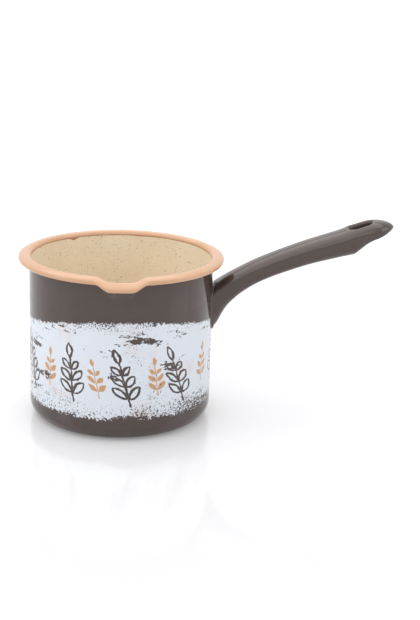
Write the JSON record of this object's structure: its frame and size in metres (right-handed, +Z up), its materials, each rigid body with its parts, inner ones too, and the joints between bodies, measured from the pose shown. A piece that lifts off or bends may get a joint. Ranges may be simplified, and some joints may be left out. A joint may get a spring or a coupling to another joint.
{
  "type": "saucepan",
  "caption": "Small enamelled steel saucepan with a rolled rim, pouring lip and hollow welded handle with a hang slot.",
  "frame": {"origin": "middle of the base, on the surface that the pan stands on", "axes": "+Z up out of the pan's mouth, +X out along the handle, -Y towards the pouring lip"},
  "size_m": [0.2858, 0.1622, 0.155],
  "materials": {
    "sheet_steel": "plain cold-rolled sheet under the enamel",
    "weld_metal": "dressed weld under the enamel",
    "brown_enamel": "glossy fired enamel, dark brown",
    "cream_enamel": "glossy fired enamel, cream with fine dark speckles",
    "peach_enamel": "glossy fired enamel, peach",
    "fired_print": "fired screen print, pale blue-white, worn at its edges"
  },
  "bodies": {
    "root": {"body_pressing": "sheet_steel", "outer_enamel": "brown_enamel", "lining_enamel": "cream_enamel", "rim_enamel": "peach_enamel", "printed_band": "fired_print", "handle_upper_pressing": "sheet_steel", "handle_lower_pressing": "sheet_steel", "handle_seam_weld": "weld_metal", "handle_root_weld": "weld_metal", "handle_enamel": "brown_enamel"}
  },
  "joints": []
}
